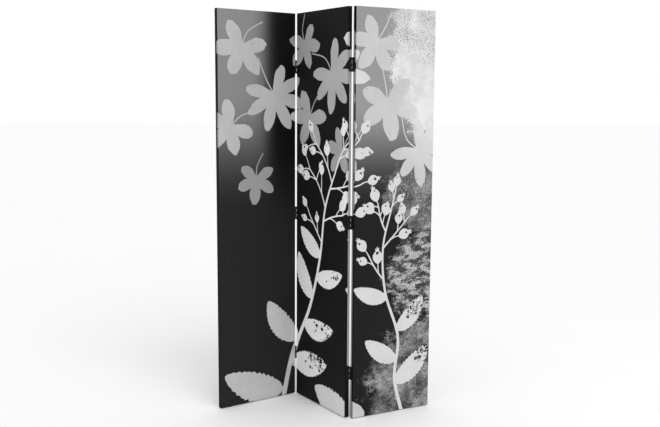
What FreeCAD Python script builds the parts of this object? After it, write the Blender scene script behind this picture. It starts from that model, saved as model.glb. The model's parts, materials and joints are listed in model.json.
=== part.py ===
import FreeCAD, Part

import math
import os

from FreeCAD import Placement, Rotation, Vector

# Three-panel folding canvas screen. Millimetres, +Z up.
# The origin is on the floor, in the middle of the footprint of the screen as it stands, folded in a zigzag.
# -Y is the front. Each panel is drawn in a frame of its own, with x across it, its front face towards -y
# and z up from the floor, and is then turned and moved to its place.

# Driving dimensions
SCREEN_HEIGHT = 1800.0
PANEL_WIDTH = 400.0
PANEL_DEPTH = 24.0
CANVAS = 0.5  # thickness of the cloth
GLIDE_HEIGHT = 3.0

# The zigzag as it stands
MIDDLE_HEADING = -60.0  # the way the middle panel's x axis points, in degrees from +X
LEFT_FOLD = 90.0  # how far each outer panel is folded away from lying flat with the middle one
RIGHT_FOLD = 83.0

# Hinges
FOLD_GAP = 4.5  # between two panels that lie flat
PIN_PROUD = 2.0  # the pin's axis stands this far outside the panels' faces
HINGE_HEIGHT = 60.0
HINGE_CENTRES = {"bottom": 205.0, "middle": 880.0, "top": 1558.0}
LEAF_REACH = 18.0  # from the pin's axis to the leaf's far edge
LEAF_THICKNESS = 1.2
LEAF_CORNER = 2.0
KNUCKLES = 5
KNUCKLE_RADIUS = FOLD_GAP / 2
KNUCKLE_GAP = 0.3
PIN_RADIUS = 1.2
PIN_CLEARANCE = 0.05  # round the pin, in the leaf that turns on it
PIN_HEAD_RADIUS = 2.0
PIN_HEAD_HEIGHT = 1.2
NOTCH_CLEARANCE = 0.4  # round a knuckle of the other leaf

# Hinge screws
SCREW_FROM_AXIS = 10.5
SCREW_SPACING = 20.0
SCREW_HEAD_RADIUS = 2.7
SCREW_RADIUS = 1.5
SCREW_LENGTH = 16.0
SCREW_TIP = 4.0
SCREW_PILOT_RADIUS = 1.0
CANVAS_HOLE_CLEARANCE = 0.2
RECESS_LENGTH = 3.0
RECESS_WIDTH = 0.7
RECESS_DEPTH = 0.8

# Wooden frame
STILE_WIDTH = 38.0
RAIL_HEIGHT = 45.0
CROSSBAR_HEIGHT = 32.0
CROSSBAR_SET_BACK = 2.0  # on each face, so that the bars don't press through the canvas
CROSSBAR_SHARES = {"lower": 1 / 3, "upper": 2 / 3}  # of the height
TENON_LENGTH = 12.0
TENON_THICKNESS = 8.0
TENON_SHOULDER = 7.0
MORTISE_SPARE = 0.5  # at the bottom of a mortise

# Canvas
RETURN = 15.0  # how far the front canvas is turned onto the back of the frame

# Staples
STAPLE_CROWN = 10.0
STAPLE_LEG = 6.5
STAPLE_WIRE = 0.6
STAPLE_WIDTH = 1.0
STAPLE_SPACING = 75.0

# Glides
GLIDE_RADIUS = 10.0
GLIDE_FOOT_RADIUS = 8.5
GLIDE_RIM = 1.5
GLIDE_FROM_MIDDLE = 150.0
NAIL_RADIUS = 1.0
NAIL_LENGTH = 16.0
NAIL_PILOT_RADIUS = 0.7

# What follows from them
HALF_WIDTH = PANEL_WIDTH / 2
FRONT = -PANEL_DEPTH / 2
BACK = PANEL_DEPTH / 2
FRAME_HALF_WIDTH = HALF_WIDTH - 2 * CANVAS
FRAME_FRONT = FRONT + CANVAS
FRAME_BACK = BACK - 2 * CANVAS
FRAME_BOTTOM = GLIDE_HEIGHT + 2 * CANVAS
FRAME_TOP = SCREEN_HEIGHT - 2 * CANVAS
AXIS_X = HALF_WIDTH + FOLD_GAP / 2
AXIS_Y = BACK + PIN_PROUD

UP = Vector(0, 0, 1)
OUTWARD = Vector(1, 0, 0)


def block(x, y, z):
    """A box between two values on each axis."""
    return Part.makeBox(x[1] - x[0], y[1] - y[0], z[1] - z[0], Vector(x[0], y[0], z[0]))


def sleeve(half_width, y, bottom, top):
    """A box that is centred across the panel."""
    return block((-half_width, half_width), y, (bottom, top))


def sided(shape, side, face):
    """A shape drawn at the right edge and the back face, on the given edge and face (1 or -1 each)."""
    if side < 0:
        shape = shape.mirror(Vector(), Vector(1, 0, 0))
    if face < 0:
        shape = shape.mirror(Vector(), Vector(0, 1, 0))
    return shape


# Where things go


def about(x, y, degrees):
    """A turn about the upright line through a point."""
    return Placement(Vector(), Rotation(UP, degrees), Vector(x, y, 0))


def shifted(x, y):
    return Placement(Vector(x, y, 0), Rotation())


def panel_places():
    """Each panel's place in the zigzag, with the middle of the whole footprint at the origin."""
    pitch = PANEL_WIDTH + FOLD_GAP
    heading = Placement(Vector(), Rotation(UP, MIDDLE_HEADING))
    places = {
        "left": heading * about(-AXIS_X, -AXIS_Y, LEFT_FOLD) * shifted(-pitch, 0),
        "middle": heading,
        "right": heading * about(AXIS_X, AXIS_Y, RIGHT_FOLD) * shifted(pitch, 0),
    }
    outline = [
        place * Vector(side * half_width, y, 0)
        for place in places.values()
        for side in (-1, 1)
        for half_width, y in ((HALF_WIDTH - CANVAS, FRONT), (HALF_WIDTH, 0), (HALF_WIDTH, BACK))
    ]
    middle_x = (min(p.x for p in outline) + max(p.x for p in outline)) / 2
    middle_y = (min(p.y for p in outline) + max(p.y for p in outline)) / 2
    return {name: shifted(-middle_x, -middle_y) * place for name, place in places.items()}


# Which edge of a panel carries hinges, and at which face: the left fold's pins are at the front and the
# right fold's at the back, so the screen folds like an accordion.
HINGED_EDGES = {"left": [(1, -1)], "middle": [(-1, -1), (1, 1)], "right": [(-1, 1)]}


# Hinges, drawn at a panel's right edge and back face


def knuckle_spans(centre):
    """The height range of each knuckle, from the bottom up."""
    pitch = HINGE_HEIGHT / KNUCKLES
    start = centre - HINGE_HEIGHT / 2
    return [
        (start + i * pitch + KNUCKLE_GAP / 2, start + (i + 1) * pitch - KNUCKLE_GAP / 2)
        for i in range(KNUCKLES)
    ]


def upright_cylinder(radius, bottom, top):
    return Part.makeCylinder(radius, top - bottom, Vector(AXIS_X, AXIS_Y, bottom))


def rounded_plate(centre):
    """The flat part of a leaf, which reaches from the pin's axis across the panel's edge."""
    plate = block(
        (HALF_WIDTH, HALF_WIDTH + LEAF_THICKNESS),
        (AXIS_Y - LEAF_REACH, AXIS_Y),
        (centre - HINGE_HEIGHT / 2, centre + HINGE_HEIGHT / 2),
    )
    far_corners = [
        edge
        for edge in plate.Edges
        if all(abs(v.Y - (AXIS_Y - LEAF_REACH)) < 1e-6 for v in edge.Vertexes)
        and abs(edge.Vertexes[0].Z - edge.Vertexes[1].Z) < 1e-6
    ]
    return plate.makeFillet(LEAF_CORNER, far_corners)


def hinge_leaf(centre, fixed):
    """One leaf with its knuckles: the first, third and fifth if the pin is fixed in it, else the others."""
    spans = knuckle_spans(centre)
    own, other = (spans[0::2], spans[1::2]) if fixed else (spans[1::2], spans[0::2])
    notch = KNUCKLE_RADIUS + NOTCH_CLEARANCE
    leaf = rounded_plate(centre)
    for bottom, top in other:
        leaf = leaf.cut(
            block(
                (HALF_WIDTH - 1, HALF_WIDTH + LEAF_THICKNESS + 1),
                (AXIS_Y - notch, AXIS_Y + notch),
                (bottom - KNUCKLE_GAP, top + KNUCKLE_GAP),
            )
        )
    for bottom, top in own:
        leaf = leaf.fuse(upright_cylinder(KNUCKLE_RADIUS, bottom, top))
    bore = PIN_RADIUS if fixed else PIN_RADIUS + PIN_CLEARANCE
    leaf = leaf.cut(upright_cylinder(bore, spans[0][0] - 1, spans[-1][1] + 1))
    for height in screw_heights(centre):
        leaf = leaf.cut(screw_head(height))
    return leaf.removeSplitter()


def hinge_pin(centre):
    """A round pin through all the knuckles, with a button head at each end."""
    bottom = knuckle_spans(centre)[0][0]
    top = knuckle_spans(centre)[-1][1]
    shank = upright_cylinder(PIN_RADIUS, bottom, top)
    neck = PIN_HEAD_RADIUS - PIN_HEAD_HEIGHT / 2
    upper = Part.makeCone(PIN_HEAD_RADIUS, neck, PIN_HEAD_HEIGHT, Vector(AXIS_X, AXIS_Y, top))
    lower = Part.makeCone(PIN_HEAD_RADIUS, neck, PIN_HEAD_HEIGHT, Vector(AXIS_X, AXIS_Y, bottom), -UP)
    return shank.fuse([upper, lower])


# Screws through a leaf into the stile, drawn at a panel's right edge and back face


def screw_heights(centre):
    return [centre + step * SCREW_SPACING for step in (-1, 0, 1)]


def screw_point(height, depth):
    """A point on a screw's axis, that far inside the leaf's outer face."""
    return Vector(HALF_WIDTH + LEAF_THICKNESS - depth, AXIS_Y - SCREW_FROM_AXIS, height)


def screw_head(height):
    start = screw_point(height, 0)
    return Part.makeCone(SCREW_HEAD_RADIUS, SCREW_RADIUS, LEAF_THICKNESS, start, -OUTWARD)


def screw_hole(height, radius):
    """What a screw takes out of the piece it passes."""
    return Part.makeCylinder(radius, SCREW_LENGTH, screw_point(height, LEAF_THICKNESS), -OUTWARD)


def screw(height):
    """A countersunk wood screw with a cross recess."""
    shank_length = SCREW_LENGTH - LEAF_THICKNESS - SCREW_TIP
    shank = Part.makeCylinder(
        SCREW_RADIUS, shank_length, screw_point(height, LEAF_THICKNESS), -OUTWARD
    )
    tip = Part.makeCone(
        SCREW_RADIUS, 0.2, SCREW_TIP, screw_point(height, SCREW_LENGTH - SCREW_TIP), -OUTWARD
    )
    body = screw_head(height).fuse([shank, tip])
    face = screw_point(height, 0)
    for half_y, half_z in ((RECESS_LENGTH / 2, RECESS_WIDTH / 2), (RECESS_WIDTH / 2, RECESS_LENGTH / 2)):
        body = body.cut(
            block(
                (face.x - RECESS_DEPTH, face.x + 1),
                (face.y - half_y, face.y + half_y),
                (face.z - half_z, face.z + half_z),
            )
        )
    return body.removeSplitter()


def all_screw_heights():
    return [height for centre in HINGE_CENTRES.values() for height in screw_heights(centre)]


def drilled(shape, edges, radius):
    """A panel's piece with the holes of all the hinge screws on those edges."""
    for side, face in edges:
        holes = [sided(screw_hole(height, radius), side, face) for height in all_screw_heights()]
        shape = shape.cut(holes)
    return shape


# The wooden frame


def rail(bottom, top, set_back):
    """A bar between the stiles, with a tenon at each end."""
    shoulder = FRAME_HALF_WIDTH - STILE_WIDTH
    bar = sleeve(shoulder, (FRAME_FRONT + set_back, FRAME_BACK - set_back), bottom, top)
    return bar.fuse(tenon(bottom, top, TENON_LENGTH - MORTISE_SPARE)).removeSplitter()


def tenon(bottom, top, length):
    """Both tenons of a bar and the stretch between them; the mortises are cut with it too."""
    middle = (FRAME_FRONT + FRAME_BACK) / 2
    half = TENON_THICKNESS / 2
    reach = FRAME_HALF_WIDTH - STILE_WIDTH + length
    return sleeve(reach, (middle - half, middle + half), bottom + TENON_SHOULDER, top - TENON_SHOULDER)


def bars():
    """The height range and set-back of every bar between the stiles."""
    found = {
        "rail_top": (FRAME_TOP - RAIL_HEIGHT, FRAME_TOP, 0),
        "rail_bottom": (FRAME_BOTTOM, FRAME_BOTTOM + RAIL_HEIGHT, 0),
    }
    for name, share in CROSSBAR_SHARES.items():
        middle = share * SCREEN_HEIGHT
        found[f"crossbar_{name}"] = (
            middle - CROSSBAR_HEIGHT / 2,
            middle + CROSSBAR_HEIGHT / 2,
            CROSSBAR_SET_BACK,
        )
    return found


def stile(side, edges):
    """An upright at the panel's left (-1) or right (1) edge, with its mortises and pilot holes."""
    inner = FRAME_HALF_WIDTH - STILE_WIDTH
    across = sorted((side * inner, side * FRAME_HALF_WIDTH))
    upright = block(across, (FRAME_FRONT, FRAME_BACK), (FRAME_BOTTOM, FRAME_TOP))
    for bottom, top, _ in bars().values():
        upright = upright.cut(tenon(bottom, top, TENON_LENGTH))
    return drilled(upright, [edge for edge in edges if edge[0] == side], SCREW_PILOT_RADIUS)


# Canvas


def canvas_front(edges):
    """The front cloth: face, four edges and the strip turned onto the back of the frame."""
    outer = sleeve(
        HALF_WIDTH - CANVAS, (FRONT, BACK - CANVAS), GLIDE_HEIGHT + CANVAS, SCREEN_HEIGHT - CANVAS
    )
    inside = sleeve(FRAME_HALF_WIDTH, (FRAME_FRONT, FRAME_BACK), FRAME_BOTTOM, FRAME_TOP)
    open_back = sleeve(
        FRAME_HALF_WIDTH - RETURN,
        (FRAME_BACK, BACK),
        FRAME_BOTTOM + RETURN,
        FRAME_TOP - RETURN,
    )
    return nailed(drilled(outer.cut([inside, open_back]), edges, SCREW_RADIUS + CANVAS_HOLE_CLEARANCE))


def canvas_back(edges):
    """The back cloth, turned half way round the four edges over the front cloth."""
    outer = sleeve(HALF_WIDTH, (0, BACK), GLIDE_HEIGHT, SCREEN_HEIGHT)
    inside = sleeve(
        HALF_WIDTH - CANVAS, (0, BACK - CANVAS), GLIDE_HEIGHT + CANVAS, SCREEN_HEIGHT - CANVAS
    )
    return nailed(drilled(outer.cut(inside), edges, SCREW_RADIUS + CANVAS_HOLE_CLEARANCE))


# Staples, on the back of the frame


def staple(x, z, upright):
    """A wire staple that is pressed flush into the turned strip of cloth."""
    level = FRAME_BACK + CANVAS
    half = STAPLE_CROWN / 2
    outer = block((-half, half), (level - STAPLE_LEG, level), (0, STAPLE_WIDTH))
    inner = block(
        (-half + STAPLE_WIRE, half - STAPLE_WIRE),
        (level - STAPLE_LEG, level - STAPLE_WIRE),
        (0, STAPLE_WIDTH),
    )
    wire = outer.cut(inner)
    if upright:
        wire.rotate(Vector(), Vector(0, 1, 0), 90)
    wire.translate(Vector(x, 0, z))
    return wire


def even_steps(start, end):
    """Places about a staple's spacing apart, from one end to the other."""
    count = math.ceil((end - start) / STAPLE_SPACING)
    return [start + (end - start) * i / count for i in range(count + 1)]


def staples():
    inset = RETURN / 2
    side = FRAME_HALF_WIDTH - inset
    uprights = even_steps(FRAME_BOTTOM + 4 * inset, FRAME_TOP - 4 * inset)
    across = even_steps(-side + 4 * inset, side - 4 * inset)
    found = [staple(x, z, True) for x in (-side, side) for z in uprights]
    found += [staple(x, z, False) for z in (FRAME_BOTTOM + inset, FRAME_TOP - inset) for x in across]
    return Part.makeCompound(found)


# Glides, under the bottom edge


def nail(x, radius):
    return Part.makeCylinder(radius, NAIL_LENGTH, Vector(x, 0, GLIDE_HEIGHT))


def glide(x):
    """A low round foot with a bevelled rim and a nail."""
    foot = Part.makeCone(GLIDE_FOOT_RADIUS, GLIDE_RADIUS, GLIDE_RIM, Vector(x, 0, 0))
    disc = Part.makeCylinder(GLIDE_RADIUS, GLIDE_HEIGHT - GLIDE_RIM, Vector(x, 0, GLIDE_RIM))
    return foot.fuse([disc, nail(x, NAIL_RADIUS)])


def glides():
    return Part.makeCompound([glide(-GLIDE_FROM_MIDDLE), glide(GLIDE_FROM_MIDDLE)])


def nailed(shape):
    """A piece of cloth with the holes of both nails."""
    radius = NAIL_RADIUS + CANVAS_HOLE_CLEARANCE
    return shape.cut([nail(side * GLIDE_FROM_MIDDLE, radius) for side in (-1, 1)])


def bottom_rail_with_pilots(bar):
    return bar.cut([nail(side * GLIDE_FROM_MIDDLE, NAIL_PILOT_RADIUS) for side in (-1, 1)])


# The whole screen


def panel_pieces(edges):
    """Every piece of one panel, in the panel's own frame."""
    pieces = {
        "stile_left": stile(-1, edges),
        "stile_right": stile(1, edges),
        "canvas_front": canvas_front(edges),
        "canvas_back": canvas_back(edges),
        "staples": staples(),
        "glides": glides(),
    }
    for name, (bottom, top, set_back) in bars().items():
        pieces[name] = rail(bottom, top, set_back)
    pieces["rail_bottom"] = bottom_rail_with_pilots(pieces["rail_bottom"])
    return pieces


def fold_pieces(panel, side, face):
    """The leaves, pins and screws that one edge of a panel carries, in the panel's own frame."""
    fixed = panel == "middle"
    fold = panel if not fixed else ("left" if side < 0 else "right")
    carrier = "middle" if fixed else "outer"
    pieces = {}
    for level, centre in HINGE_CENTRES.items():
        pieces[f"{fold}_hinge_{level}_leaf_{carrier}"] = hinge_leaf(centre, fixed)
        if fixed:
            pieces[f"{fold}_hinge_{level}_pin"] = hinge_pin(centre)
    pieces[f"{fold}_hinge_screws_{carrier}"] = Part.makeCompound(
        [screw(height) for height in all_screw_heights()]
    )
    return {name: sided(shape, side, face) for name, shape in pieces.items()}


def screen():
    """Every node of the screen, in its place."""
    nodes = {}
    for panel, place in panel_places().items():
        edges = HINGED_EDGES[panel]
        own = {f"{panel}_{name}": shape for name, shape in panel_pieces(edges).items()}
        for side, face in edges:
            own.update(fold_pieces(panel, side, face))
        for name, shape in own.items():
            shape.Placement = place * shape.Placement
            nodes[name] = shape
    return nodes


def main():
    os.makedirs("parts", exist_ok=True)
    for name, shape in screen().items():
        shape.exportStep(f"parts/{name}.step")


main()
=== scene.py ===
import json
import math
import random
from collections import namedtuple

import bpy
from mathutils import Matrix, Vector
from mathutils.geometry import delaunay_2d_cdt


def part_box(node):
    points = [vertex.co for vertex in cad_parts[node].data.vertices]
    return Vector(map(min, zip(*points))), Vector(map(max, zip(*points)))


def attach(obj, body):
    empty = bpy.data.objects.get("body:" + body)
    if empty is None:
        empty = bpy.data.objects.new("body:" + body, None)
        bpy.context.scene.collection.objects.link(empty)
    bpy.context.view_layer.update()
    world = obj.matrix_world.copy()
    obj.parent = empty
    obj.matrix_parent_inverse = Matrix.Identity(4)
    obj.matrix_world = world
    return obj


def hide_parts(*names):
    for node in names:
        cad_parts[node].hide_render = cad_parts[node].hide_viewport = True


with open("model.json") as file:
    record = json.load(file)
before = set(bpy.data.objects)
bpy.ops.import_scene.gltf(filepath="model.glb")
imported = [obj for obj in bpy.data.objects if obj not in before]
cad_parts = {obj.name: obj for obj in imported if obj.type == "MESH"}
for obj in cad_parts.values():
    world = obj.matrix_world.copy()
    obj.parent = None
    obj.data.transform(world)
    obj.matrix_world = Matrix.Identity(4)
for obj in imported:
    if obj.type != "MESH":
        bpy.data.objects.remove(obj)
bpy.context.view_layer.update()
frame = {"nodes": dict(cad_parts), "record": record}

UP = Vector((0, 0, 1))
PANELS = ("left", "middle", "right")

# Canvas, in metres
CLOTH = 0.0005  # its thickness
BEND = 0.0014  # radius of the cloth where it turns an edge
BEND_STEPS = 4
THREAD = 0.0011  # from one thread to the next

# The cloth is cut in millimetres, and points closer than the tolerance are one
CUT_SCALE = 1000
CUT_TOLERANCE = 1e-4
CUT_INSIDE_ONLY = 1  # delaunay_2d_cdt then gives the triangles inside the outlines alone


# Panels


class Panel:
    """One panel's own frame: x across it, y from its front to its back, z up from the floor."""

    def __init__(self, name):
        self.name = name
        self.index = PANELS.index(name)
        across = (middle_of(f"{name}_stile_right") - middle_of(f"{name}_stile_left")).normalized()
        turn = Matrix((across, UP.cross(across), UP)).transposed().to_4x4()
        cloths = [f"{name}_canvas_front", f"{name}_canvas_back"]
        points = [turn.inverted() @ v.co for node in cloths for v in frame["nodes"][node].data.vertices]
        low = Vector([min(p[k] for p in points) for k in range(3)])
        high = Vector([max(p[k] for p in points) for k in range(3)])
        middle = (low + high) / 2
        self.matrix = turn @ Matrix.Translation((middle.x, middle.y, 0))
        self.width = high.x - low.x
        self.depth = high.y - low.y
        self.bottom = low.z
        self.top = high.z


def middle_of(node):
    low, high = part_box(node)
    return (low + high) / 2


# The printed picture. It runs over the three panels as one sheet of paper would: x from 0 at the left
# panel's left edge, z up from the floor. Tones are greys from 0 to 1 as the eye sees them, one for each
# panel. A tone below 0 lets the ground of the print show through.

Mark = namedtuple("Mark", "outline tones wear veins base tip half_width seed")

SHADE_LEAF = (0.64, 0.66, 0.72)
DIM_LEAF = (0.53, 0.62, 0.62)
PALE_LEAF = (0.65, 0.80, 0.67)
WHITE = (0.68, 0.90, 0.725)
CUT_OUT = (-1.0, -1.0, -1.0)

# How worn the print of a mark is, from 0 to 1
STEM_WEAR = 0.02
BERRY_WEAR = 0.08
PLAIN_LEAF_WEAR = 0.02


def polar(x, z, angle, radius):
    """The point at an angle, in radians, and a distance from (x, z)."""
    return Vector((x + radius * math.cos(angle), z + radius * math.sin(angle)))


def mark(outline, tones, base, tip, half_width, wear=0.0, veins=0.0, seed=0):
    return Mark(outline, tones, wear, veins, Vector(base), Vector(tip), half_width, seed)


def curve_through(points, steps=7):
    """A smooth line through the given points."""
    points = [Vector(p) for p in points]
    padded = [2 * points[0] - points[1]] + points + [2 * points[-1] - points[-2]]
    line = []
    for a, b, c, d in zip(padded, padded[1:], padded[2:], padded[3:]):
        for step in range(steps):
            t = step / steps
            bend = (2 * a - 5 * b + 4 * c - d) * t**2 + (3 * b - a - 3 * c + d) * t**3
            line.append(0.5 * (2 * b + (c - a) * t + bend))
    return line + [points[-1]]


def stem(points, thick, thin, tones, seed=0):
    """A tapering stroke along a smooth line."""
    line = curve_through(points)
    left, right = [], []
    for i, place in enumerate(line):
        ahead = line[min(i + 1, len(line) - 1)] - line[max(i - 1, 0)]
        across = Vector((-ahead.y, ahead.x)).normalized()
        half = (thick + (thin - thick) * i / (len(line) - 1)) / 2
        left.append(place + across * half)
        right.append(place - across * half)
    return mark(left + right[::-1], tones, line[0], line[-1], thick, wear=STEM_WEAR, seed=seed)


def blot(x, z, size, seed):
    """A ragged hole through which the ground shows."""
    chance = random.Random(seed)
    corners = 11
    outline = []
    for step in range(corners):
        outline.append(polar(x, z, 2 * math.pi * step / corners, size * chance.uniform(0.75, 1.25)))
    return mark(outline, CUT_OUT, (x, z), (x + size, z), size)


def lobed_leaf(x, z, size, heading, lobes, tones, seed):
    """A leaf with lobes all round but for its stalk, and the stalk."""
    chance = random.Random(seed)
    spread = math.radians(305)
    steps = 10
    outline = []
    for lobe in range(lobes):
        aside = abs(2 * lobe / (lobes - 1) - 1)
        reach = (0.64 - 0.14 * aside**1.5) * chance.uniform(0.85, 1.10)
        for step in range(steps):
            t = step / steps
            swell = 1 - abs(2 * t - 1) ** 1.5
            angle = math.radians(heading) + spread * ((lobe + t) / lobes - 0.5)
            ragged = chance.uniform(0.965, 1.035)
            outline.append(polar(x, z, angle, size * (0.46 + reach * swell) * ragged))
    back = math.radians(heading + 180)
    outline.append(polar(x, z, back, 0.10 * size))
    tip = polar(x, z, math.radians(heading), size)
    foot = polar(x, z, back + chance.uniform(-0.4, 0.4), 1.15 * size)
    stalk = stem(((x, z), polar(x, z, back, 0.55 * size), foot), 0.0065, 0.005, tones, seed)
    return [stalk, mark(outline, tones, (x, z), tip, 0.6 * size, wear=PLAIN_LEAF_WEAR, seed=seed)]


def toothed_leaf(base, tip, half_width, tones, seed, bend, wear, veins):
    """A pointed oval leaf with a saw edge, drawn from its stalk to its tip."""
    chance = random.Random(seed)
    base, tip = Vector(base), Vector(tip)
    along = tip - base
    across = Vector((-along.y, along.x)).normalized()
    length = along.length
    teeth = 12

    def point(t, side, reach):
        width = half_width * math.sin(math.pi * min(t, 1) ** 0.85) ** 0.62
        middle = base + along * t + across * (4 * bend * length * t * (1 - t))
        return middle + across * side * width * reach

    outline = []
    for side in (1, -1):
        edge = [base]
        for i in range(teeth):
            t = (i + chance.uniform(0.1, 0.3)) / (teeth + 0.3)
            deep = chance.uniform(0.02, 0.12) if t > 0.15 else 0.0
            edge.append(point(t, side, 1 - deep))
            edge.append(point(t + 0.8 / teeth, side, 1 + deep / 2))
        outline += edge if side > 0 else [tip] + edge[:0:-1]
    return mark(outline, tones, base, tip, half_width, wear, veins, seed)


# A berry from its stalk to the dry crown at its end: (distance along it, half width), in its own half widths
BERRY_BODY = ((-1.35, 0.12), (-0.95, 0.62), (-0.30, 0.98), (0.30, 0.98), (0.85, 0.62), (1.05, 0.34))
BERRY_CROWN = ((1.30, 0.42), (1.60, 0.40), (1.40, 0.18), (1.85, 0.05))


def berry(x, z, size, heading, tones, seed):
    """A berry and the dark eye beside its crown."""
    chance = random.Random(seed)
    middle = Vector((x, z))
    along = polar(0, 0, math.radians(heading), size)
    across = Vector((-along.y, along.x))
    outline = []
    for side in (1, -1):
        edge = [middle + along * far + across * side * wide for far, wide in curve_through(BERRY_BODY, 3)]
        for far, wide in BERRY_CROWN:
            edge.append(middle + along * far * chance.uniform(0.90, 1.10) + across * side * wide)
        outline += edge if side > 0 else edge[::-1]
    eye = middle + along * chance.uniform(0.45, 0.75) + across * chance.uniform(-0.25, 0.25)
    return [
        mark(outline, tones, middle - along, middle + along, size, wear=BERRY_WEAR, seed=seed),
        blot(eye.x, eye.y, size * chance.uniform(0.14, 0.30), seed),
    ]


# The directions of the berry stalks, in degrees from the twig's own
STALK_TURNS = (0, 34, -32, 60, -58)


def twig(start, heading, length, berries, seed):
    """A side twig that forks into short stalks, each with a berry at its end."""
    chance = random.Random(seed)
    bend = chance.uniform(-12, 12)
    points = [Vector(start)]
    for step in range(3):
        points.append(polar(*points[-1], math.radians(heading + bend * step), length / 3))
    marks = [stem(points, 0.008, 0.006, WHITE)]
    for k in range(berries):
        fork = points[3 - k % 3]
        turn = heading + bend + STALK_TURNS[k] + chance.uniform(-8, 8)
        end = polar(*fork, math.radians(turn), length * chance.uniform(0.22, 0.42))
        marks.append(stem((fork, (fork + end) / 2 + Vector((0, 0.004)), end), 0.006, 0.004, WHITE))
        size = chance.uniform(0.016, 0.024)
        centre = polar(*end, math.radians(turn), size)
        marks += berry(centre.x, centre.y, size, turn, WHITE, seed * 10 + k)
    return marks


# Lobed leaves that drift across the upper half, behind everything else:
# (x, z, size, heading in degrees, lobes, tones)
LOBED_LEAVES = (
    (0.120, 1.640, 0.135, -115, 5, SHADE_LEAF),
    (0.285, 1.430, 0.160, -60, 7, SHADE_LEAF),
    (0.060, 1.290, 0.130, -140, 5, SHADE_LEAF),
    (0.190, 1.050, 0.105, -95, 5, DIM_LEAF),
    (0.470, 1.660, 0.115, -70, 5, DIM_LEAF),
    (0.510, 1.330, 0.135, -120, 5, SHADE_LEAF),
    (0.690, 1.520, 0.165, -50, 7, SHADE_LEAF),
    (0.900, 1.655, 0.125, -125, 5, PALE_LEAF),
    (0.960, 1.400, 0.150, -80, 5, PALE_LEAF),
    (1.120, 1.190, 0.150, -40, 7, PALE_LEAF),
    (0.760, 1.190, 0.105, -130, 5, DIM_LEAF),
)
# Two stems that rise from the lower edge: (points, thickness at its foot, thickness at its end, places of the
# leaves as shares of its length, places of the berry twigs, length of the longest leaf)
STEMS = (
    (
        ((0.330, -0.020), (0.395, 0.230), (0.520, 0.460), (0.600, 0.700), (0.640, 0.930), (0.735, 1.130)),
        0.026, 0.008,
        (0.16, 0.24, 0.34, 0.43, 0.53, 0.61),
        (0.68, 0.75, 0.82, 0.89, 0.94, 0.99),
        0.290,
    ),
    (
        ((1.060, -0.020), (1.015, 0.160), (1.030, 0.350), (0.960, 0.560), (0.945, 0.760), (0.985, 0.930)),
        0.018, 0.007,
        (0.18, 0.30, 0.44, 0.58),
        (0.68, 0.80, 0.90, 0.99),
        0.220,
    ),
)
# How worn the leaves of a stem are, from its foot up
STEM_LEAF_WEAR = (0.30, 0.06, 0.24, 0.04, 0.16, 0.03)
STEM_LEAF_SLIMNESS = 0.21  # half its width to its length
STEM_LEAF_VEINS = 0.4
STEM_END = 0.98  # a twig past this share of the stem goes on in the stem's own direction
# Broad pale leaves that lie along the lower edge: (base, tip, half width)
LOW_LEAVES = (
    ((0.330, 0.030), (0.020, 0.150), 0.070),
    ((0.860, 0.010), (0.560, 0.080), 0.075),
)


def leafy_stem(points, thick, thin, leaf_places, twig_places, longest, seed):
    """A stem with worn leaves on both sides of its lower part and berry twigs above them."""
    line = curve_through(points)
    chance = random.Random(seed)
    marks = []

    def along(share):
        index = min(int(share * (len(line) - 1)), len(line) - 2)
        ahead = line[index + 1] - line[index]
        return line[index], math.degrees(math.atan2(ahead.y, ahead.x))

    for number, share in enumerate(leaf_places):
        side = 1 if number % 2 else -1
        place, rising = along(share)
        length = longest * (1 - 0.06 * number) * chance.uniform(0.92, 1.08)
        heading = math.radians(rising + side * chance.uniform(50, 66))
        tip = polar(*place, heading, length)
        bend = side * chance.uniform(0.03, 0.08)
        half_width, wear = STEM_LEAF_SLIMNESS * length, STEM_LEAF_WEAR[number]
        marks.append(toothed_leaf(place, tip, half_width, WHITE, seed + number, bend, wear, STEM_LEAF_VEINS))
    marks.append(stem(points, thick, thin, WHITE))
    for number, share in enumerate(twig_places):
        side = -1 if number % 2 else 1
        place, rising = along(share)
        lean = side * chance.uniform(32, 58) if share < STEM_END else 0
        length = 0.9 * longest * chance.uniform(0.55, 0.85)
        marks += twig(place, rising + lean, length, 3 + number % 3, seed + 10 + number)
    return marks


def scattered_holes(marks):
    """Small ragged holes in the worn leaves."""
    chance = random.Random(7)
    holes = []
    for one in marks:
        along = one.tip - one.base
        if one.wear > 0.1:
            across = Vector((-along.y, along.x)).normalized()
            for _ in range(round(18 * one.wear)):
                place = one.base + along * chance.uniform(0.35, 0.85)
                place += across * one.half_width * chance.uniform(-0.5, 0.5)
                holes.append(blot(place.x, place.y, chance.uniform(0.004, 0.010), one.seed))
    return holes


def picture():
    """Every mark of the print, from the bottom layer up."""
    marks = []
    for seed, (x, z, size, heading, lobes, tones) in enumerate(LOBED_LEAVES, 10):
        marks += lobed_leaf(x, z, size, heading, lobes, tones, seed)
    for seed, (base, tip, half_width) in enumerate(LOW_LEAVES, 30):
        marks.append(
            toothed_leaf(base, tip, half_width, PALE_LEAF, seed, bend=0.05, wear=PLAIN_LEAF_WEAR, veins=0.0)
        )
    for seed, settings in zip((40, 70), STEMS):
        marks += leafy_stem(*settings, seed)
    return marks + scattered_holes(marks)


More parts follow.
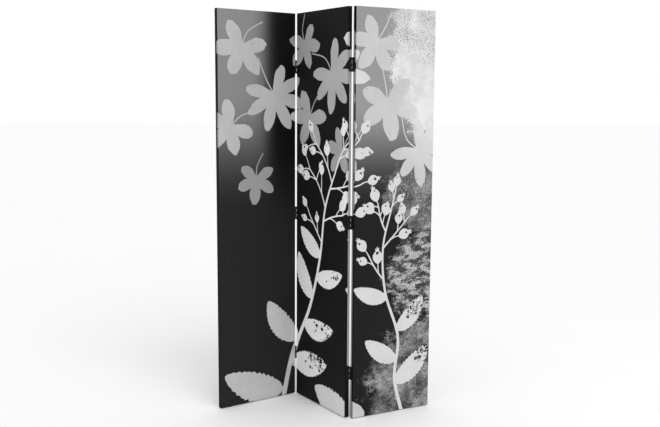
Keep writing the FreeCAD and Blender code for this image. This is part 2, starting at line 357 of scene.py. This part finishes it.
# The print turns the edges with the cloth. On these strips of the edges it has a plain tone instead:
# (panel, cloth, edge: -1 left or 1 right, from z, to z, tone)
EDGE_STRIPS = (
    ("left", "back", -1, 0.0, 1.8, 0.10),
    ("left", "back", 1, 0.0, 1.8, 0.10),
    ("middle", "back", -1, 0.0, 1.8, 0.10),
    ("middle", "back", 1, 0.0, 1.8, 0.10),
    ("middle", "back", 1, 0.24, 1.62, 0.70),
    ("middle", "front", 1, 0.0, 0.24, 0.10),
    ("right", "back", -1, 0.0, 1.8, 0.66),
    ("right", "back", -1, 1.70, 1.8, 0.10),
    ("right", "back", 1, 0.0, 1.8, 0.10),
)


# Cloth that is stretched over a panel


def turned_profile(straight, hem):
    """How the cloth turns a panel's edge: (distance along it, out from the flat part, back from the face)."""
    profile = [(0.0, 0.0, 0.0)]
    for step in range(1, BEND_STEPS + 1):
        angle = math.pi / 2 * step / BEND_STEPS
        profile.append((BEND * angle, BEND * math.sin(angle), BEND * (1 - math.cos(angle))))
    along = BEND * math.pi / 2 + straight
    profile.append((along, BEND, BEND + straight))
    if hem:
        profile.append((along + hem, BEND - hem, BEND + straight))
    return profile


def turned(profile, distance):
    """(out, back) at a distance past the flat part."""
    if distance <= 0:
        return 0.0, 0.0
    for (d0, out0, back0), (d1, out1, back1) in zip(profile, profile[1:]):
        if distance <= d1 + 1e-9:
            share = (distance - d0) / (d1 - d0)
            return out0 + (out1 - out0) * share, back0 + (back1 - back0) * share
    return profile[-1][1], profile[-1][2]


def turned_normal(distance):
    """(out, face) parts of the outward direction at a distance past the flat part."""
    angle = min(max(distance, 0) / BEND, math.pi / 2)
    return math.sin(angle), math.cos(angle)


class Cloth:
    """One face's canvas. It is laid out flat, cut along the marks of the print and then folded."""

    def __init__(self, panel, side):
        self.panel = panel
        self.front = side == "front"
        inset = CLOTH if self.front else 0
        self.half_x = panel.width / 2 - inset - BEND
        self.half_z = (panel.top - panel.bottom) / 2 - inset - BEND
        self.mid_z = (panel.top + panel.bottom) / 2
        reach = panel.depth - 2 * CLOTH if self.front else panel.depth / 2
        self.profile = turned_profile(reach - BEND, 0 if self.front else CLOTH)
        self.flap = self.profile[-1][0]
        self.read_left_to_right = 1 if self.front else -1
        self.order = panel.index if self.front else len(PANELS) - 1 - panel.index
        self.picture_middle = (self.order + 0.5) * panel.width

    def place(self, x, z):
        """A point of the flat cloth, folded over the panel, in the panel's frame."""
        out_x, back_x = turned(self.profile, abs(x) - self.half_x)
        out_z, back_z = turned(self.profile, abs(z) - self.half_z)
        far_x = math.copysign(min(abs(x), self.half_x) + out_x, x)
        far_z = math.copysign(min(abs(z), self.half_z) + out_z, z)
        return self.to_panel(far_x, max(back_x, back_z), far_z)

    def to_panel(self, x, back, z):
        sign = 1 if self.front else -1
        return Vector((x, sign * (back - self.panel.depth / 2), z + self.mid_z))

    def normal(self, x, z):
        side_x, face_x = turned_normal(abs(x) - self.half_x)
        side_z, face_z = turned_normal(abs(z) - self.half_z)
        face = -min(face_x, face_z) if self.front else min(face_x, face_z)
        return Vector((math.copysign(side_x, x), face, math.copysign(side_z, z))).normalized()

    def picture_x(self, x):
        return self.picture_middle + self.read_left_to_right * x

    def from_picture(self, point):
        """A point of the picture on the flat cloth."""
        return Vector((self.read_left_to_right * (point.x - self.picture_middle), point.y - self.mid_z))

    def outline(self):
        """The flat cloth with its corner squares cut out."""
        x, z, flap = self.half_x, self.half_z, self.flap
        return [
            Vector(p)
            for p in (
                (-x, -z - flap), (x, -z - flap), (x, -z), (x + flap, -z), (x + flap, z), (x, z),
                (x, z + flap), (-x, z + flap), (-x, z), (-x - flap, z), (-x - flap, -z), (-x, -z),
            )
        ]

    def fold_lines(self):
        """Every line across which the cloth turns."""
        lines = []
        for distance, _, _ in self.profile[:-1]:
            x, z = self.half_x + distance, self.half_z + distance
            for sign in (-1, 1):
                lines.append((Vector((sign * x, -self.half_z)), Vector((sign * x, self.half_z))))
                lines.append((Vector((-self.half_x, sign * z)), Vector((self.half_x, sign * z))))
        return lines

    def marks_here(self):
        """The marks that touch this cloth, each with its outline on the flat cloth."""
        found = []
        for one in picture():
            outline = anticlockwise([self.from_picture(p) for p in one.outline])
            if min(p.x for p in outline) < self.half_x + self.flap:
                if max(p.x for p in outline) > -self.half_x - self.flap:
                    found.append((one, outline))
        return found + self.edge_strips()

    def edge_strips(self):
        """The strips of print that lie on this cloth's edges alone."""
        found = []
        side = "front" if self.front else "back"
        near, far = self.half_x + BEND, self.half_x + self.flap
        for panel, cloth, edge, low, high, tone in EDGE_STRIPS:
            if (panel, cloth) == (self.panel.name, side):
                low = max(low - self.mid_z, -self.half_z)
                high = min(high - self.mid_z, self.half_z)
                corners = [(near, low), (far, low), (far, high), (near, high)]
                outline = anticlockwise([Vector((edge * x, z)) for x, z in corners])
                found.append((mark(outline, (tone, tone, tone), outline[0], outline[2], near), outline))
        return found


def anticlockwise(outline):
    """The outline in the order that the cutting below needs."""
    turning = sum(a.cross(b) for a, b in zip(outline, outline[1:] + outline[:1]))
    return outline if turning > 0 else outline[::-1]


Ink = namedtuple("Ink", "ink leaf picture")


def ink_at(cloth, one, x, z, wrapped):
    """What the print's material reads at one corner of a face."""
    where = Vector((cloth.picture_x(x), z + cloth.mid_z))
    picture_vector = (where.x, where.y, 1.0 if wrapped else 0.0)
    if one is None:
        return Ink((-1.0, 0.0, 0.0), (0.0, 0.0, 0.0), picture_vector)
    along = one.tip - one.base
    across = Vector((-along.y, along.x)).normalized()
    off = where - one.base
    tone = one.tones[cloth.order]
    leaf = (off.dot(along) / along.length**2, off.dot(across) / max(one.half_width, 1e-4), one.seed * 0.37)
    return Ink((tone, one.wear, one.veins), leaf, picture_vector)


def cut_cloth(cloth):
    """The flat cloth as triangles: (points, triangles, the mark on each triangle)."""
    marks = cloth.marks_here()
    points = list(cloth.outline())
    faces = [list(range(len(points)))]
    for _, outline in marks:
        faces.append(list(range(len(points), len(points) + len(outline))))
        points += outline
    edges = []
    for start, end in cloth.fold_lines():
        edges.append((len(points), len(points) + 1))
        points += [start, end]
    scaled = [p * CUT_SCALE for p in points]
    cut = delaunay_2d_cdt(scaled, edges, faces, CUT_INSIDE_ONLY, CUT_TOLERANCE)
    places = [Vector(p) / CUT_SCALE for p in cut[0]]
    triangles, top_marks = [], []
    for corners, sources in zip(cut[2], cut[5]):
        if 0 in sources:
            triangles.append(list(corners))
            top_marks.append(marks[max(sources) - 1][0] if max(sources) else None)
    return places, triangles, top_marks


def corner_rows(cloth):
    """The four corners, where the turned cloth sweeps from the side edge round to the top or bottom edge."""
    angles = [math.pi / 2 * step / BEND_STEPS for step in range(BEND_STEPS + 1)]
    corners = []
    for sign_x in (-1, 1):
        for sign_z in (-1, 1):
            corners.append(
                [[(sign_x, sign_z, distance, angle) for angle in angles] for distance, _, _ in cloth.profile]
            )
    return corners


def corner_place(cloth, sign_x, sign_z, distance, angle):
    """One point of a corner: where it is, its normal, and where the print is read for it."""
    out, back = turned(cloth.profile, distance)
    x = sign_x * (cloth.half_x + out * math.cos(angle))
    z = sign_z * (cloth.half_z + out * math.sin(angle))
    side, face = turned_normal(distance)
    facing_out = -face if cloth.front else face
    normal = Vector((sign_x * side * math.cos(angle), facing_out, sign_z * side * math.sin(angle)))
    return cloth.to_panel(x, back, z), normal.normalized(), (x, z)


def write_mesh(name, matrix, points, normals, faces, inks):
    """A mesh in the row frame with the print's three vectors at every face corner."""
    mesh = bpy.data.meshes.new(name)
    mesh.from_pydata([matrix @ p for p in points], [], faces)
    turn = matrix.to_3x3()
    for field in Ink._fields:
        attribute = mesh.attributes.new(field, "FLOAT_VECTOR", "CORNER")
        flat = [value for ink in inks for value in getattr(ink, field)]
        attribute.data.foreach_set("vector", flat)
    mesh.normals_split_custom_set_from_vertices([turn @ n for n in normals])
    made = bpy.data.objects.new(name, mesh)
    bpy.context.scene.collection.objects.link(made)
    return made


def facing(points, corners, normal):
    """The corners of a face, in the order that makes it look along normal."""
    a, b, c = (points[k] for k in corners[:3])
    return corners if (b - a).cross(c - a).dot(normal) > 0 else corners[::-1]


def sheet(panel, side):
    """The visible canvas of one face of a panel, printed, stretched and folded over its edges."""
    cloth = Cloth(panel, side)
    flat, triangles, top_marks = cut_cloth(cloth)
    points = [cloth.place(p.x, p.y) for p in flat]
    normals = [cloth.normal(p.x, p.y) for p in flat]
    faces, inks = [], []
    for corners, one in zip(triangles, top_marks):
        middle = sum((flat[k] for k in corners), Vector((0, 0))) / 3
        wrapped = abs(middle.x) > cloth.half_x + BEND or abs(middle.y) > cloth.half_z + BEND
        corners = facing(points, corners, cloth.normal(middle.x, middle.y))
        faces.append(corners)
        inks += [ink_at(cloth, one, flat[k].x, flat[k].y, wrapped) for k in corners]
    for rows in corner_rows(cloth):
        start = len(points)
        flat_places = []
        for row in rows:
            for item in row:
                place, normal, flat_place = corner_place(cloth, *item)
                points.append(place)
                normals.append(normal)
                flat_places.append(flat_place)
        wide = BEND_STEPS + 1
        for r in range(len(rows) - 1):
            for c in range(BEND_STEPS):
                corners = [r * wide + c, r * wide + c + 1, (r + 1) * wide + c + 1, (r + 1) * wide + c]
                corners = corners[1:] if r == 0 else corners
                quad = facing(points, [start + k for k in corners], normals[start + corners[-1]])
                faces.append(quad)
                inks += [ink_at(cloth, None, *flat_places[k - start], True) for k in quad]
    made = write_mesh(f"{panel.name}_canvas_{side}_cloth", panel.matrix, points, normals, faces, inks)
    made.data.materials.append(MATERIALS["canvas"])
    pleats = corner_pleats(cloth)
    for piece in (made, pleats):
        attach(piece, f"panel_{panel.name}")
    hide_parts(f"{panel.name}_canvas_{side}")
    return made


def corner_pleats(cloth):
    """The folded-over cloth at each corner, which lies on the top and bottom edges as a flat triangle."""
    panel = cloth.panel
    lift = 0.0004  # how far the folded cloth stands up
    bevel = 0.0004
    tip_bevel = 0.0012  # at the two sharp corners of the triangle
    inset = 0.0010
    deep = cloth.profile[-1][2] - 0.0012  # it stops short of the end of the turned cloth
    reach = 0.8 * deep
    points, normals, faces, inks = [], [], [], []
    for sign_x in (-1, 1):
        for sign_z in (-1, 1):
            edge = cloth.half_x + BEND - inset
            level = cloth.half_z + BEND
            rim = [(edge, inset + BEND), (edge, deep), (edge - reach, deep)]
            crest = [
                (edge - bevel, inset + BEND + tip_bevel),
                (edge - bevel, deep - bevel),
                (edge - reach + tip_bevel, deep - bevel),
            ]
            out = Vector((0, 0, sign_z))
            start = len(points)
            for ring, rise in ((rim, 0.0), (crest, lift)):
                for x, back in ring:
                    points.append(cloth.to_panel(sign_x * x, back, sign_z * (level + rise)))
                    normals.append(out)
            cells = [(3, 4, 5)] + [(k, (k + 1) % 3, 3 + (k + 1) % 3, 3 + k) for k in range(3)]
            for cell in cells:
                quad = facing(points, [start + k for k in cell], out)
                faces.append(quad)
                flat = (sign_x * edge, sign_z * level)
                inks += [ink_at(cloth, None, *flat, True) for _ in quad]
    side = "front" if cloth.front else "back"
    made = write_mesh(f"{panel.name}_canvas_{side}_pleats", panel.matrix, points, normals, faces, inks)
    made.data.materials.append(MATERIALS["canvas"])
    return made


# Materials


class Wiring:
    """A material's nodes, added one at a time. Every method gives back the new node's output."""

    def __init__(self, name):
        self.material = bpy.data.materials.new(name)
        self.material.use_nodes = True
        self.tree = self.material.node_tree
        self.shader = self.tree.nodes["Principled BSDF"]

    def node(self, kind, **settings):
        made = self.tree.nodes.new(kind)
        for key, value in settings.items():
            setattr(made, key, value)
        return made

    def feed(self, socket, value):
        if isinstance(value, bpy.types.NodeSocket):
            self.tree.links.new(value, socket)
        else:
            socket.default_value = value

    def math(self, operation, a, b=0.0, clamp=False):
        made = self.node("ShaderNodeMath", operation=operation, use_clamp=clamp)
        self.feed(made.inputs[0], a)
        self.feed(made.inputs[1], b)
        return made.outputs[0]

    def add(self, a, b):
        return self.math("ADD", a, b)

    def times(self, a, b):
        return self.math("MULTIPLY", a, b)

    def ramp(self, value, low, high):
        """0 at low, 1 at high and smooth between; low may be the larger."""
        made = self.node("ShaderNodeMapRange", interpolation_type="SMOOTHSTEP")
        self.feed(made.inputs["Value"], value)
        made.inputs["From Min"].default_value = low
        made.inputs["From Max"].default_value = high
        return made.outputs[0]

    def blend(self, share, a, b):
        made = self.node("ShaderNodeMix", data_type="FLOAT")
        self.feed(made.inputs[0], share)
        self.feed(made.inputs[2], a)
        self.feed(made.inputs[3], b)
        return made.outputs[0]

    def noise(self, vector, scale, detail=4.0, roughness=0.6, distortion=0.0):
        made = self.node("ShaderNodeTexNoise")
        self.feed(made.inputs["Vector"], vector)
        made.inputs["Scale"].default_value = scale
        made.inputs["Detail"].default_value = detail
        made.inputs["Roughness"].default_value = roughness
        made.inputs["Distortion"].default_value = distortion
        return made.outputs[0]

    def attribute(self, name):
        made = self.node("ShaderNodeAttribute", attribute_name=name)
        return made.outputs["Vector"]

    def split(self, vector):
        made = self.node("ShaderNodeSeparateXYZ")
        self.feed(made.inputs[0], vector)
        return made.outputs

    def join(self, x, y, z=0.0):
        made = self.node("ShaderNodeCombineXYZ")
        for socket, value in zip(made.inputs, (x, y, z)):
            self.feed(socket, value)
        return made.outputs[0]

    def place(self):
        return self.node("ShaderNodeTexCoord").outputs["Object"]

    def stretched(self, vector, x, y, z):
        made = self.node("ShaderNodeMapping")
        self.feed(made.inputs["Vector"], vector)
        made.inputs["Scale"].default_value = (x, y, z)
        return made.outputs[0]

    def grey(self, tone):
        """The colour of a grey from 0 to 1 as the eye sees it."""
        light = self.math("POWER", self.math("MAXIMUM", tone, 0.0), 2.2)
        made = self.node("ShaderNodeCombineColor")
        for socket in made.inputs[:3]:
            self.feed(socket, light)
        return made.outputs[0]

    def tint(self, share, a, b):
        made = self.node("ShaderNodeMix", data_type="RGBA")
        self.feed(made.inputs[0], share)
        for socket, colour in ((made.inputs[6], a), (made.inputs[7], b)):
            if isinstance(colour, tuple):
                socket.default_value = (*colour, 1)
            else:
                self.feed(socket, colour)
        return made.outputs[2]

    def bump(self, height, distance):
        made = self.node("ShaderNodeBump")
        self.feed(made.inputs["Height"], height)
        made.inputs["Distance"].default_value = distance
        self.tree.links.new(made.outputs[0], self.shader.inputs["Normal"])

    def set(self, **values):
        for name, value in values.items():
            self.feed(self.shader.inputs[name.replace("_", " ")], value)


def patch(w, x, z, rough, middle, radius, tear):
    """A soft-edged blot round a place in the picture, torn by noise."""
    across = w.times(w.add(x, -middle[0]), 1 / radius[0])
    up = w.times(w.add(z, -middle[1]), 1 / radius[1])
    distance = w.math("SQRT", w.add(w.times(across, across), w.times(up, up)))
    return w.ramp(w.add(distance, w.add(rough, -0.5 * tear)), 1.05, 0.95)


def plaster(w, vector, x, z, ground):
    """Worn plaster over the right third of the picture: pale and pitted above, dark and mottled below."""
    torn = w.noise(vector, 14, 9, 0.75)
    grains = w.noise(vector, 120, 6, 0.75)
    clouds = w.ramp(w.noise(vector, 10, 8, 0.72), 0.34, 0.66)
    smears = w.noise(w.stretched(vector, 17, 30, 17), 1.0, 9, 0.78)
    edge = w.add(w.times(torn, 0.55), w.times(grains, 0.45))
    flecks = w.ramp(grains, 0.40, 0.62)
    chips = w.ramp(smears, 0.46, 0.54)
    nicks = w.noise(w.stretched(vector, 120, 190, 120), 1.0, 5, 0.8)
    upper_corner = w.ramp(w.add(z, w.times(x, 0.5)), 2.08, 2.18)
    pitted = w.times(w.ramp(w.add(nicks, w.times(torn, 0.35)), 0.68, 0.60), upper_corner)
    pale = w.blend(pitted, w.add(0.705, w.times(clouds, 0.08)), 0.53)
    grain = w.add(w.add(0.17, w.times(clouds, 0.22)), w.times(flecks, 0.22))
    mottle = w.add(w.add(0.13, w.times(clouds, 0.34)), w.times(flecks, 0.18))
    chipped = w.blend(chips, w.add(0.13, w.times(flecks, 0.20)), w.add(0.48, w.times(flecks, 0.24)))
    blots = [
        # middle x, middle z, radius x, radius z, how far it is torn, tone
        (1.210, 1.010, 0.250, 0.190, 2.2, grain),
        (1.220, 0.620, 0.250, 0.210, 2.0, chipped),
        (1.150, 0.120, 0.270, 0.280, 2.4, mottle),
        (1.270, 1.620, 0.300, 0.420, 1.4, pale),
    ]
    for middle_x, middle_z, radius_x, radius_z, tear, tone in blots:
        share = patch(w, x, z, w.times(edge, tear), (middle_x, middle_z), (radius_x, radius_z), tear)
        ground = w.blend(share, ground, tone)
    return ground


def picture_ground(w, vector, x, z):
    """The print behind the marks: grey at the upper left and upper right, black between and below."""
    left = w.times(w.ramp(z, 0.90, 1.45), w.ramp(x, 0.350, 0.165))
    ground = w.add(0.135, w.times(left, 0.335))
    ground = w.blend(w.times(w.ramp(x, 0.22, 0.34), w.ramp(z, 0.80, 1.25)), ground, 0.05)
    ground = w.blend(w.ramp(x, 0.395, 0.405), ground, 0.105)
    right = w.add(0.105, w.times(w.ramp(z, 0.90, 1.40), 0.40))
    ground = w.blend(w.ramp(x, 0.799, 0.801), ground, right)
    return plaster(w, vector, x, z, ground)


def weave(w, x, z):
    """The height of a plain weave, from 0 to 1."""
    over = w.math("SINE", w.times(x, math.pi / THREAD))
    under = w.math("SINE", w.times(z, math.pi / THREAD))
    return w.add(w.times(w.times(over, under), 0.5), 0.5)


def canvas_material():
    """Cotton canvas printed in greys. The mesh says what mark each face is part of."""
    w = Wiring("printed_canvas")
    vector = w.attribute("picture")
    x, z, wrapped = w.split(vector)
    tone, wear, veins = w.split(w.attribute("ink"))
    along, across, seed = w.split(w.attribute("leaf"))

    ground = picture_ground(w, vector, x, z)
    ground = w.blend(wrapped, ground, 0.09)

    shift = w.join(w.add(x, seed), z, seed)
    cloudy = w.noise(shift, 11, 5, 0.6)
    leaf_tone = w.add(tone, w.times(w.add(cloudy, -0.5), 0.08))
    aside = w.math("ABSOLUTE", across)
    rib = w.ramp(aside, 0.050, 0.020)
    bowed = w.add(w.times(along, 8.5), w.times(w.math("POWER", aside, 1.3), -1.5))
    sides = w.ramp(w.math("ABSOLUTE", w.add(w.math("FRACT", bowed), -0.5)), 0.16, 0.05)
    lines = w.times(w.math("MAXIMUM", rib, sides), w.ramp(veins, 0.0, 0.5))
    pits = w.noise(shift, 62, 7, 0.70, 0.6)
    reach = w.noise(shift, 13, 2, 0.5)
    towards_tip = w.ramp(along, 0.25, 0.85)
    depth = w.times(wear, w.add(w.times(towards_tip, 0.62), w.times(w.add(reach, -0.5), 1.9)))
    gaps = w.ramp(w.add(pits, w.add(w.times(lines, 0.13), w.times(depth, -1.0))), 0.335, 0.30)
    worn = w.times(gaps, w.ramp(wear, 0.0, 0.03))
    leaf_tone = w.add(leaf_tone, w.times(lines, w.times(veins, -0.035)))
    leaf_tone = w.blend(worn, leaf_tone, 0.12)
    # The marks grow a little lighter towards the pale plaster at the upper right
    glow = w.times(w.ramp(w.add(x, w.times(cloudy, 0.12)), 1.07, 1.20), w.ramp(z, 1.08, 1.26))
    leaf_tone = w.add(leaf_tone, w.times(glow, 0.06))

    is_leaf = w.math("GREATER_THAN", tone, -0.5)
    final = w.blend(is_leaf, ground, leaf_tone)
    # Painted shade: print and ground on the turned edges, corners and pleats are drawn a fifth darker than on
    # the faces
    final = w.times(final, w.add(1.0, w.times(wrapped, -0.20)))
    streaks = w.noise(w.stretched(vector, 150, 3.5, 1), 1.0, 3, 0.5)
    final = w.add(final, w.times(w.add(streaks, -0.5), 0.035))
    threads = weave(w, x, z)
    slubs = w.noise(w.stretched(vector, 60, 900, 1), 1.0, 2, 0.5)
    final = w.add(final, w.times(w.add(threads, -0.5), 0.018))
    w.set(Base_Color=w.grey(final))
    w.set(Roughness=w.blend(threads, 0.72, 0.60))
    w.set(Specular_IOR_Level=0.10)
    w.bump(w.add(threads, w.times(slubs, 0.5)), 0.00012)
    return w.material


def lacquer_material(name, tone, coat):
    """Black lacquer on steel, rubbed a little thin."""
    w = Wiring(name)
    where = w.place()
    mottled = w.noise(where, 160, 6, 0.65)
    rubbed = w.ramp(w.noise(where, 420, 5, 0.7), 0.62, 0.72)
    w.set(Base_Color=w.grey(w.add(w.add(tone, w.times(mottled, 0.06)), w.times(rubbed, 0.14))))
    w.set(Roughness=w.blend(rubbed, w.blend(mottled, 0.30, 0.46), 0.55))
    w.set(Specular_IOR_Level=0.25, Coat_Weight=coat, Coat_Roughness=0.35)
    w.bump(w.noise(where, 900, 4, 0.6), 0.00004)
    return w.material


def wood_material():
    """Planed pine, its grain running up and down."""
    w = Wiring("pine")
    where = w.place()
    rings = w.noise(w.stretched(where, 55, 55, 2.2), 1.0, 6, 0.6, 1.2)
    fibres = w.noise(w.stretched(where, 900, 900, 14), 1.0, 3, 0.6)
    grain = w.ramp(rings, 0.35, 0.68)
    colour = w.tint(grain, (0.66, 0.46, 0.26), (0.44, 0.26, 0.12))
    w.set(Base_Color=w.tint(w.times(fibres, 0.35), colour, (0.72, 0.55, 0.35)))
    w.set(Roughness=w.blend(fibres, 0.55, 0.75))
    w.bump(fibres, 0.0001)
    return w.material


def wire_material():
    w = Wiring("zinc_wire")
    where = w.place()
    w.set(Base_Color=w.grey(w.add(0.60, w.times(w.noise(where, 700, 4), 0.2))))
    w.set(Roughness=w.blend(w.noise(where, 1500, 3), 0.25, 0.45), Metallic=1.0)
    return w.material


def glide_material():
    w = Wiring("black_plastic")
    where = w.place()
    scuffs = w.ramp(w.noise(where, 240, 6, 0.7), 0.50, 0.70)
    w.set(Base_Color=w.grey(w.add(0.14, w.times(scuffs, 0.10))))
    w.set(Roughness=w.blend(scuffs, 0.42, 0.68))
    w.bump(w.noise(where, 1200, 3), 0.00005)
    return w.material


def floor_material():
    w = Wiring("white_floor")
    w.set(Base_Color=w.grey(w.add(0.865, w.times(w.noise(w.place(), 2.0, 3), 0.01))))
    w.set(Roughness=0.6, Specular_IOR_Level=0.2)
    return w.material


SLOT_MATERIALS = {
    "frame_wood": "pine",
    "staple_wire": "wire",
    "glide_plastic": "glide",
    "hinge_black": "hinge",
    "screw_black": "screw",
    "canvas_front": "canvas",
    "canvas_back": "canvas",
}


def dress_cad_nodes():
    """Every node that is shown as it comes from the frame gets its own material."""
    for entry in frame["record"]["subparts"]:
        mesh = frame["nodes"][entry["node"]].data
        mesh.materials.clear()
        mesh.materials.append(MATERIALS[SLOT_MATERIALS[entry["material_slot"]]])


# The studio


def floor():
    bpy.ops.mesh.primitive_plane_add(size=60, location=(0, 20, 0))
    made = bpy.context.object
    made.name = "floor"
    made.data.materials.append(MATERIALS["floor"])


def soft_box(name, place, aim, size, power):
    data = bpy.data.lights.new(name, "AREA")
    data.shape = "RECTANGLE"
    data.size, data.size_y = size
    data.energy = power
    made = bpy.data.objects.new(name, data)
    made.location = place
    made.rotation_euler = (Vector(aim) - Vector(place)).to_track_quat("-Z", "Y").to_euler()
    bpy.context.scene.collection.objects.link(made)


def lights():
    bpy.context.scene.view_settings.view_transform = "Standard"
    world = bpy.data.worlds.new("studio")
    world.use_nodes = True
    background = world.node_tree.nodes["Background"]
    background.inputs["Color"].default_value = (1, 1, 1, 1)
    background.inputs["Strength"].default_value = 1.0
    bpy.context.scene.world = world
    key = bpy.data.lights.new("key", "SUN")
    key.energy = 1.5
    key.angle = math.radians(45)
    made = bpy.data.objects.new("key", key)
    made.rotation_euler = (math.radians(48), 0, math.radians(22))
    bpy.context.scene.collection.objects.link(made)
    soft_box("side", (3.2, -1.6, 1.6), (0.1, 0, 0.9), (1.2, 2.4), 14)


# The camera stands left of the middle, at about three quarters of the panels' height, and looks slightly down
CAMERA_PLACE = (-0.2773, -3.8435, 1.4055)
CAMERA_TURN = math.radians(-4.496)
CAMERA_DOWN = math.radians(7.489)
CAMERA_ROLL = math.radians(0.351)
CAMERA_LENS = 46.85


def camera():
    data = bpy.data.cameras.new("camera")
    data.lens = CAMERA_LENS
    data.sensor_width = 36
    made = bpy.data.objects.new("camera", data)
    made.matrix_world = (
        Matrix.Translation(CAMERA_PLACE)
        @ Matrix.Rotation(CAMERA_TURN, 4, "Z")
        @ Matrix.Rotation(math.pi / 2 - CAMERA_DOWN, 4, "X")
        @ Matrix.Rotation(CAMERA_ROLL, 4, "Z")
    )
    bpy.context.scene.collection.objects.link(made)
    bpy.context.scene.camera = made


MATERIALS = {
    "canvas": canvas_material(),
    "hinge": lacquer_material("black_lacquer", 0.06, 0.15),
    "screw": lacquer_material("black_oxide", 0.10, 0.05),
    "pine": wood_material(),
    "wire": wire_material(),
    "glide": glide_material(),
    "floor": floor_material(),
}

dress_cad_nodes()
for name in PANELS:
    for side in ("front", "back"):
        sheet(Panel(name), side)
floor()
lights()
camera()
